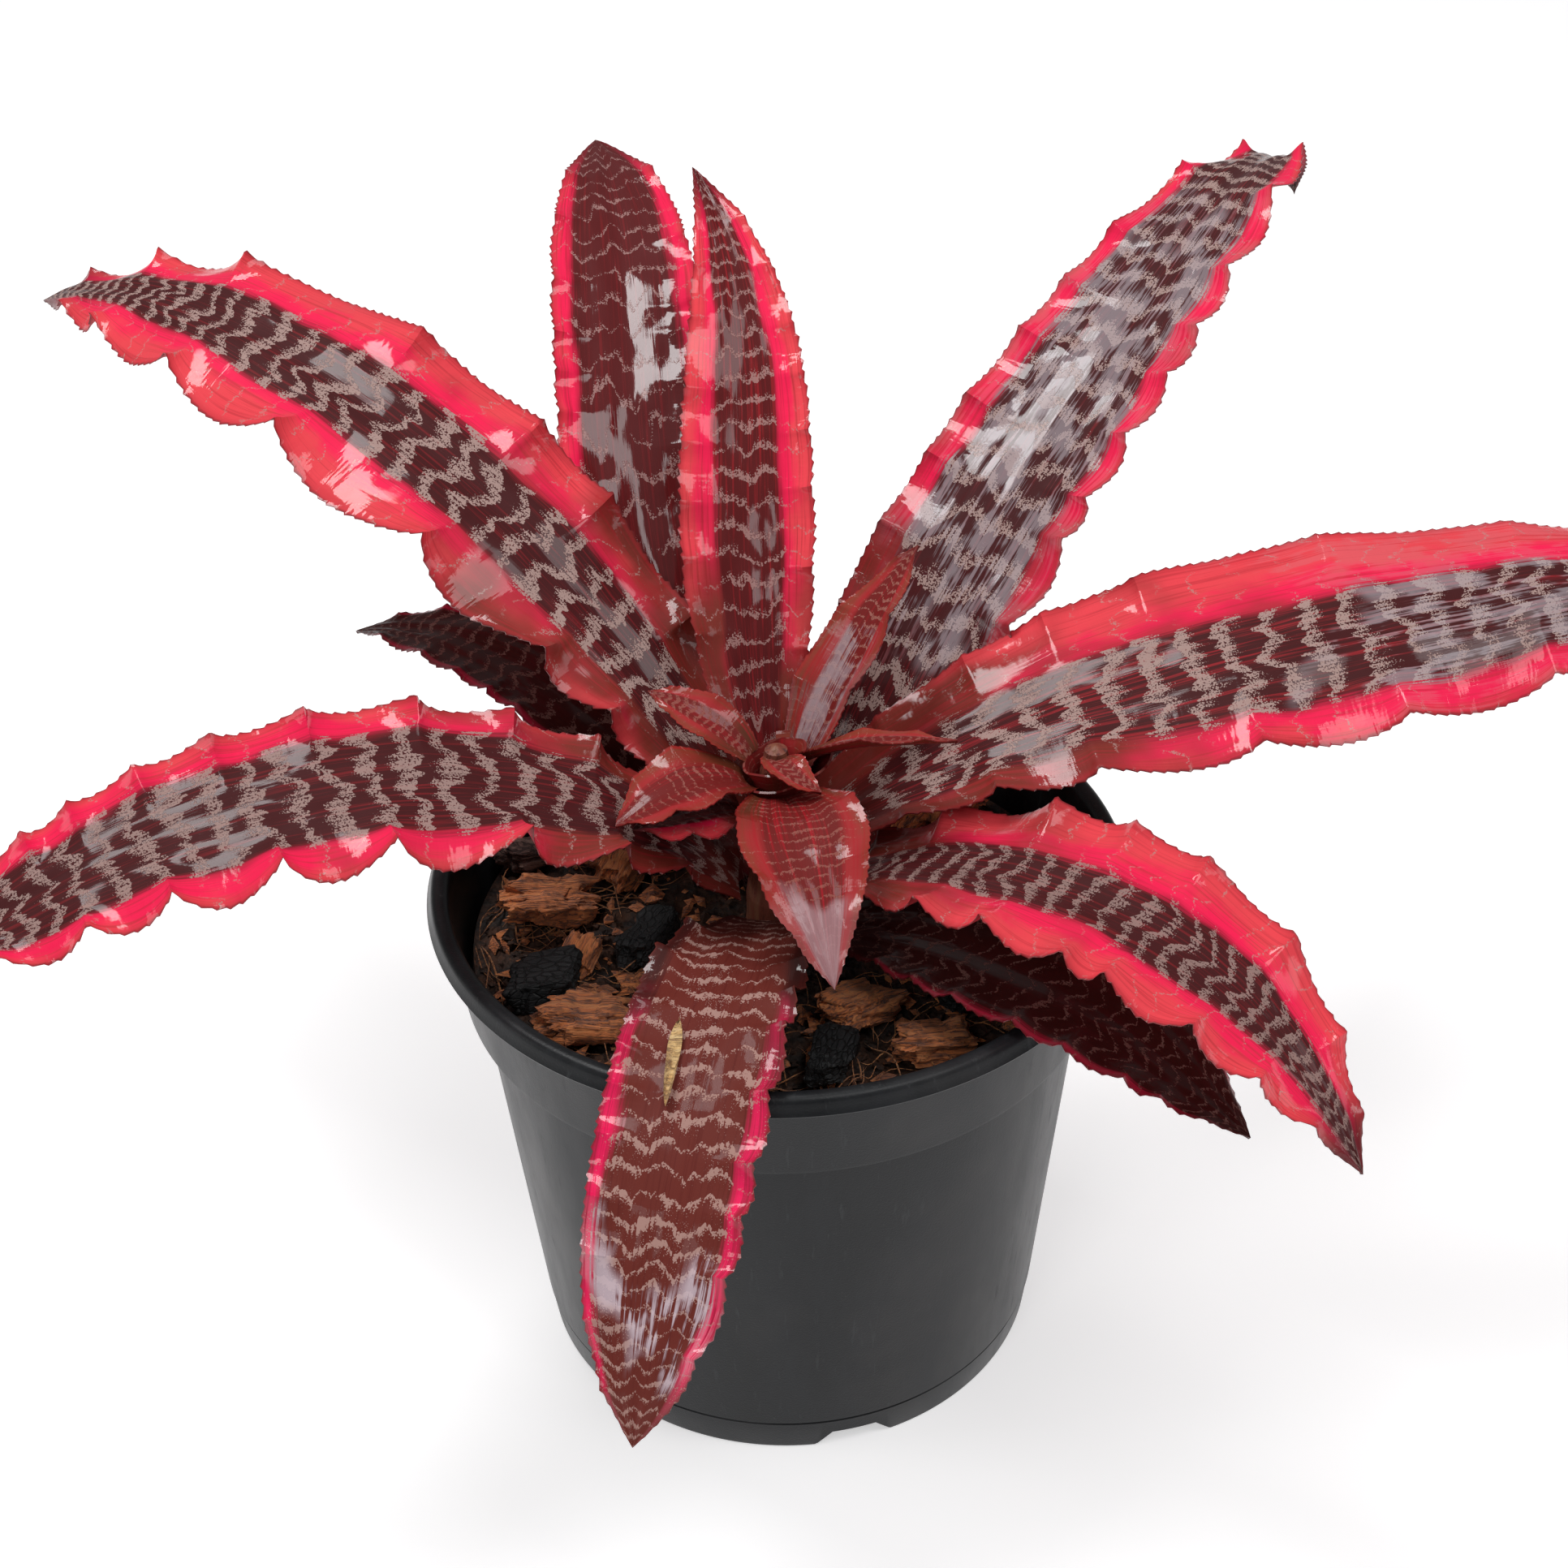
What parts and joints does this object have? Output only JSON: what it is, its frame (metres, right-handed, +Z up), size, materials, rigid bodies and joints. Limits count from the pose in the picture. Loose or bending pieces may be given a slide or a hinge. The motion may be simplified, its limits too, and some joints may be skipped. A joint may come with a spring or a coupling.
{
  "type": "potted bromeliad",
  "caption": "Potted bromeliad: a rosette of long, ruffled strap leaves in a plain round nursery pot filled with bark and husk mix.",
  "frame": {"origin": "bottom centre of the bounding box of the plant and its pot; the pot stands on z = 0, a little left of and in front of the origin's column", "axes": "+Z up, +Y away from the front, +X to the right as seen from the front"},
  "size_m": [0.4146, 0.2922, 0.2368],
  "materials": {
    "pot_plastic": "satin black, moulded",
    "growing_mix": "rough, damp",
    "stem": "dull",
    "leaf_red": "glossy, banded with silver scales",
    "leaf_dark": "glossy, banded with silver scales",
    "husk": "fibrous, rough",
    "charcoal": "dull, cracked",
    "bark": "rough",
    "coir": "dull fibre",
    "dry_scrap": "dry"
  },
  "bodies": {
    "root": {"bark_back": "bark", "bark_back_left": "bark", "charcoal_front": "charcoal", "charcoal_front_left": "charcoal", "charcoal_left": "charcoal", "charcoal_right": "charcoal", "coir_strand_a": "coir", "coir_strand_b": "coir", "coir_strand_c": "coir", "coir_strand_d": "coir", "coir_strand_e": "coir", "dry_scrap": "dry_scrap", "growing_mix": "growing_mix", "husk_chip_back": "husk", "husk_chip_back_right": "husk", "husk_chip_front_left": "husk", "husk_chip_front_mid": "husk", "husk_chip_front_right": "husk", "husk_chip_left": "husk", "husk_chip_middle": "husk", "husk_chip_right": "husk", "leaf_back_left": "leaf_red", "leaf_back_right": "leaf_red", "leaf_back_upright": "leaf_red", "leaf_front_hanging": "leaf_dark", "leaf_front_right": "leaf_red", "leaf_front_right_under": "leaf_dark", "leaf_front_short": "leaf_red", "leaf_heart": "leaf_red", "leaf_inner_back_left": "leaf_red", "leaf_inner_left": "leaf_red", "leaf_inner_right": "leaf_red", "leaf_inner_upright": "leaf_red", "leaf_left_behind": "leaf_dark", "leaf_left_long": "leaf_red", "leaf_left_low": "leaf_red", "leaf_left_small": "leaf_red", "leaf_right_long": "leaf_red", "pot": "pot_plastic", "stem": "stem"}
  },
  "joints": []
}
